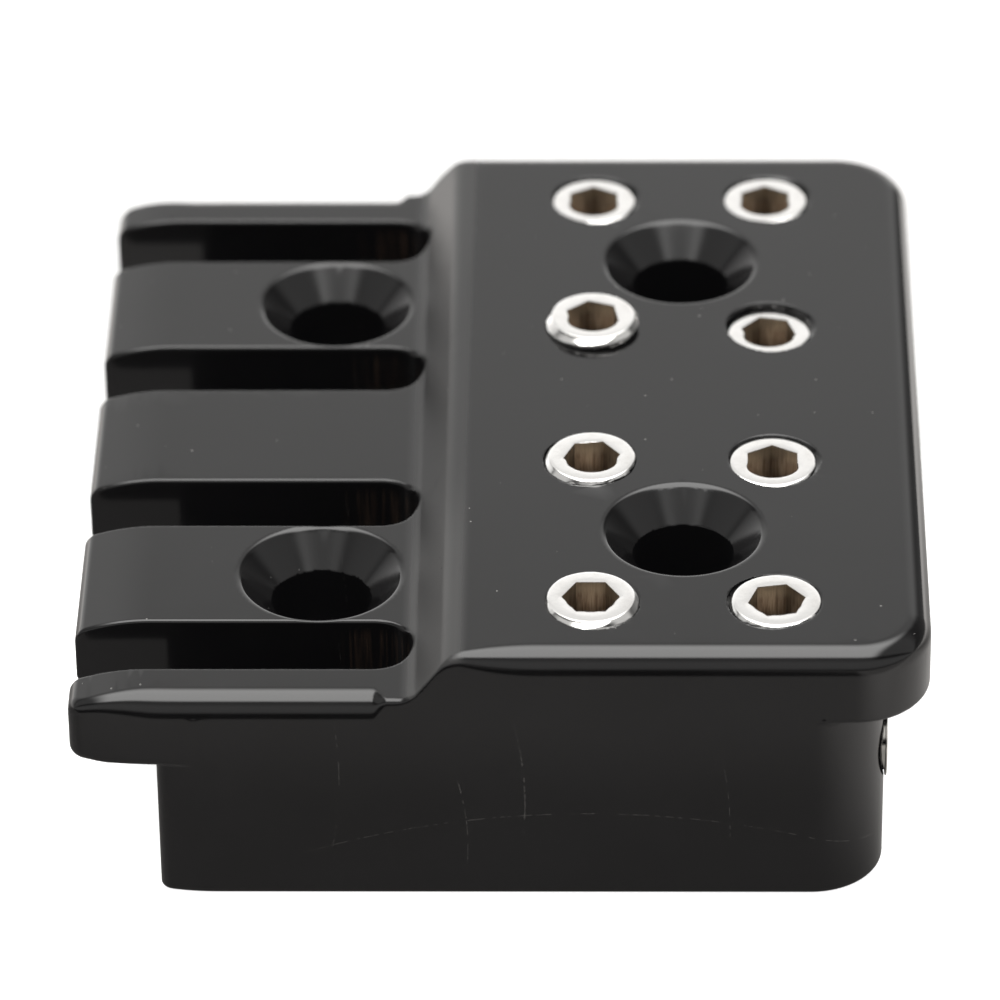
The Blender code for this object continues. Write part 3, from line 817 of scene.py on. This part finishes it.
def make_world():
    """Banded studio sky for the lighting, plain white for the camera."""
    world = bpy.data.worlds.new("studio")
    scene.world = world
    world.use_nodes = True
    nodes = Nodes(world.node_tree)
    x, y, z = nodes.split(nodes.coordinate("Generated"))
    angle = nodes.math("ARCTAN2", z, y)
    band = nodes.add("ValToRGB", {0: nodes.math("MULTIPLY_ADD", angle, 0.5 / math.pi, 0.5)})
    stops = band.color_ramp.elements
    while len(stops) > 1:
        stops.remove(stops[0])
    for i, (degrees, value) in enumerate(SKY_STOPS):
        position = (degrees + 180) / 360
        stop = stops[0] if i == 0 else stops.new(position)
        stop.position = position
        level = value / SKY_STRENGTH
        stop.color = (level, level, level, 1)
    # the overhead softbox and the bright back wall are only so wide
    aside = nodes.math("ABSOLUTE", x)
    overhead = nodes.times(nodes.ramp_degrees(angle, over=(44, 50)),
                           nodes.ramp_degrees(angle, over=(128, 136), start=1, end=0))
    low_back = nodes.times(nodes.ramp_degrees(angle, over=(44, 50), start=1, end=0),
                           nodes.ramp_degrees(angle, over=(-60, -30)))
    overhead_cut = nodes.ramp(aside, over=(0.28, 0.50), start=0, end=0.90)
    back_cut = nodes.plus(nodes.ramp(x, over=(0.32, 0.54), start=0, end=0.86),
                          nodes.ramp(x, over=(-0.54, -0.28), start=0.22, end=0))
    cut = nodes.plus(nodes.times(overhead, overhead_cut), nodes.times(low_back, back_cut))
    reach = nodes.minus(1.0, cut)
    warm = nodes.mix(0.5, (1.0, 0.985, 0.96, 1), (1.0, 1.0, 1.0, 1))
    glow = nodes.add("VectorMath", {0: band.outputs[0], 1: warm}, operation="MULTIPLY").outputs[0]
    glow = nodes.add("VectorMath", {0: glow, "Scale": reach}, operation="SCALE").outputs[0]
    studio = nodes.add("Background", {"Color": glow, "Strength": SKY_STRENGTH})
    white = nodes.add("Background", {"Color": (1, 1, 1, 1), "Strength": 1.02})
    to_camera = nodes.add("LightPath").outputs["Is Camera Ray"]
    sky = nodes.mix_shaders(to_camera, studio.outputs[0], white.outputs[0])
    nodes.add("OutputWorld", {0: sky})


def pale_floor():
    """Pale and faintly lit to the eye; its glow in reflections is set apart, by place."""
    material, nodes = new_material("pale_floor")
    path = nodes.add("LightPath").outputs
    x, y, z = nodes.split(nodes.add("NewGeometry").outputs["Position"])
    plain = nodes.add("BsdfDiffuse", {
        "Color": nodes.ramp_mm(y, over=(4, 30), start=0.86, end=0.60)})
    lift = nodes.add("Emission", {
        "Color": (1, 1, 1, 1),
        "Strength": nodes.ramp_mm(y, over=(-6, 18), start=0.75, end=0.10)})
    seen = nodes.add("AddShader", {0: plain.outputs[0], 1: lift.outputs[0]}).outputs[0]
    behind = nodes.ramp_mm(y, over=(-12, 66), start=0, end=1.85)
    before = nodes.plus(nodes.ramp_mm(y, over=(0, 60), start=0.25, end=0),
                        nodes.ramp_mm(y, over=(-31, -24), start=0.14, end=0))
    before = nodes.times(before, nodes.ramp_mm(y, over=(-46, -34)))
    beside = nodes.times(nodes.ramp_mm(x, over=(12.5, 26), start=0, end=0.60),
                         nodes.ramp_mm(y, over=(-10, 5), start=1, end=0))
    mirrored = nodes.add("Emission", {
        "Color": (1.0, 0.965, 0.93, 1), "Strength": nodes.plus(behind, before, beside)})
    shown = nodes.mix_shaders(path["Is Glossy Ray"], seen, mirrored.outputs[0])
    # one-sided, and open where the part touches it, so the part can be looked at from below
    under = nodes.math("MAXIMUM", nodes.add("NewGeometry").outputs["Backfacing"],
                       nodes.math("LESS_THAN", path["Ray Length"], 0.0001))
    clear = nodes.add("BsdfTransparent").outputs[0]
    nodes.add("OutputMaterial", {0: nodes.mix_shaders(under, shown, clear)})
    return material


make_world()
bpy.ops.mesh.primitive_plane_add(size=3.0, location=(0, 0, -0.02 * MM))
floor = bpy.context.object
floor.name = "studio_floor"
floor.data.materials.append(pale_floor())

# ---- camera: a long lens in front, looking along +Y and down ----
PITCH_DOWN = math.radians(34.539)
LENS, SENSOR_WIDTH = 259.2792, 36.0
AIM_ASIDE = -4.60764  # sideways swing of the aim, as a distance at the sensor
# where the flange's top, at x = y = 0, lies from the camera before the swing
RANGE, ACROSS, ABOVE = 300.161, -5.113, 2.736


def make_camera():
    right = Vector((1, 0, 0))
    upward = Vector((0, math.sin(PITCH_DOWN), math.cos(PITCH_DOWN)))
    forward = Vector((0, math.cos(PITCH_DOWN), -math.sin(PITCH_DOWN)))
    centre = (right * -ACROSS + upward * (Z_FLANGE * math.cos(PITCH_DOWN) - ABOVE)
              - forward * (RANGE + Z_FLANGE * math.sin(PITCH_DOWN)))
    aim = (forward + right * (AIM_ASIDE / LENS)).normalized()
    side = (right - aim * right.dot(aim)).normalized()
    data = bpy.data.cameras.new("camera")
    camera = link_object("camera", data)
    turn = Matrix((side, upward, -aim)).transposed()
    camera.matrix_world = Matrix.Translation(centre * MM) @ turn.to_4x4()
    data.sensor_width = SENSOR_WIDTH
    data.lens = LENS
    data.clip_start, data.clip_end = 0.01, 10.0
    # focus on the front half of the top; an empty holds it, so other views focus on the part too
    focus = link_object("focus", None)
    focus.location = (0.0, -12.5 * MM, 9.5 * MM)
    data.dof.use_dof = True
    data.dof.focus_object = focus
    data.dof.aperture_fstop = 66.0
    scene.camera = camera


make_camera()
